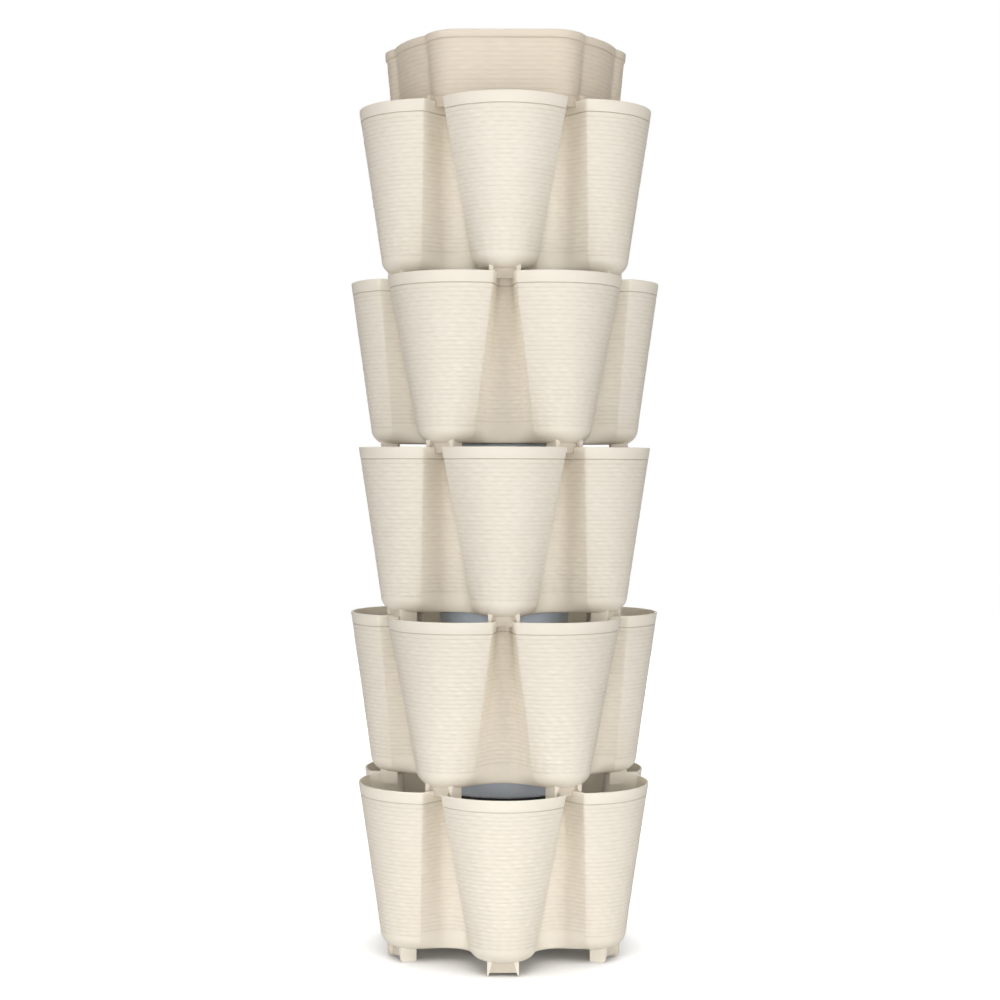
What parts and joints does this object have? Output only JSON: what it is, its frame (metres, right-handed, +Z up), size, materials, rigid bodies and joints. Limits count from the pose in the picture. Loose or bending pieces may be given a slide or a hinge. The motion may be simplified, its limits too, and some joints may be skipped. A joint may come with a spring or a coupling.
{
  "type": "vertical planter tower",
  "caption": "Vertical planter tower: stacked tiers with lobed pockets, each turned half a pocket, water disks between them and an open reservoir on top.",
  "frame": {"origin": "on the ground under the tower axis, at the tips of the lowest feet", "axes": "+Z up along the tower axis, the front faces -Y with one pocket of the lowest tier, +X to the right"},
  "size_m": [0.47, 0.47, 1.364],
  "materials": {
    "tier_plastic": "matte, woven relief",
    "disk_plastic": "satin",
    "plate_plastic": "matte"
  },
  "bodies": {
    "tier_1": {"tier_1": "tier_plastic"},
    "support_plate_1": {"support_plate_1": "plate_plastic"},
    "water_disk_1": {"water_disk_1": "disk_plastic"},
    "tier_2": {"tier_2": "tier_plastic"},
    "support_plate_2": {"support_plate_2": "plate_plastic"},
    "water_disk_2": {"water_disk_2": "disk_plastic"},
    "tier_3": {"tier_3": "tier_plastic"},
    "support_plate_3": {"support_plate_3": "plate_plastic"},
    "water_disk_3": {"water_disk_3": "disk_plastic"},
    "tier_4": {"tier_4": "tier_plastic"},
    "support_plate_4": {"support_plate_4": "plate_plastic"},
    "water_disk_4": {"water_disk_4": "disk_plastic"},
    "tier_5": {"tier_5": "tier_plastic"},
    "support_plate_5": {"support_plate_5": "plate_plastic"},
    "water_disk_5": {"water_disk_5": "disk_plastic"},
    "reservoir": {"reservoir": "tier_plastic", "drip_nozzle_1": "plate_plastic", "drip_nozzle_2": "plate_plastic", "drip_nozzle_3": "plate_plastic"}
  },
  "joints": [
    {"name": "support_plate_1_lift", "type": "slide", "parent": "tier_1", "child": "support_plate_1", "axis": [0, 0, 1], "range_m": [0, 0.06]},
    {"name": "water_disk_1_lift", "type": "slide", "parent": "support_plate_1", "child": "water_disk_1", "axis": [0, 0, 1], "range_m": [0, 0.06]},
    {"name": "tier_2_lift", "type": "slide", "parent": "water_disk_1", "child": "tier_2", "axis": [0, 0, 1], "range_m": [0, 0.15]},
    {"name": "support_plate_2_lift", "type": "slide", "parent": "tier_2", "child": "support_plate_2", "axis": [0, 0, 1], "range_m": [0, 0.06]},
    {"name": "water_disk_2_lift", "type": "slide", "parent": "support_plate_2", "child": "water_disk_2", "axis": [0, 0, 1], "range_m": [0, 0.06]},
    {"name": "tier_3_lift", "type": "slide", "parent": "water_disk_2", "child": "tier_3", "axis": [0, 0, 1], "range_m": [0, 0.15]},
    {"name": "support_plate_3_lift", "type": "slide", "parent": "tier_3", "child": "support_plate_3", "axis": [0, 0, 1], "range_m": [0, 0.06]},
    {"name": "water_disk_3_lift", "type": "slide", "parent": "support_plate_3", "child": "water_disk_3", "axis": [0, 0, 1], "range_m": [0, 0.06]},
    {"name": "tier_4_lift", "type": "slide", "parent": "water_disk_3", "child": "tier_4", "axis": [0, 0, 1], "range_m": [0, 0.15]},
    {"name": "support_plate_4_lift", "type": "slide", "parent": "tier_4", "child": "support_plate_4", "axis": [0, 0, 1], "range_m": [0, 0.06]},
    {"name": "water_disk_4_lift", "type": "slide", "parent": "support_plate_4", "child": "water_disk_4", "axis": [0, 0, 1], "range_m": [0, 0.06]},
    {"name": "tier_5_lift", "type": "slide", "parent": "water_disk_4", "child": "tier_5", "axis": [0, 0, 1], "range_m": [0, 0.15]},
    {"name": "support_plate_5_lift", "type": "slide", "parent": "tier_5", "child": "support_plate_5", "axis": [0, 0, 1], "range_m": [0, 0.06]},
    {"name": "water_disk_5_lift", "type": "slide", "parent": "support_plate_5", "child": "water_disk_5", "axis": [0, 0, 1], "range_m": [0, 0.06]},
    {"name": "reservoir_lift", "type": "slide", "parent": "water_disk_5", "child": "reservoir", "axis": [0, 0, 1], "range_m": [0, 0.15]}
  ]
}
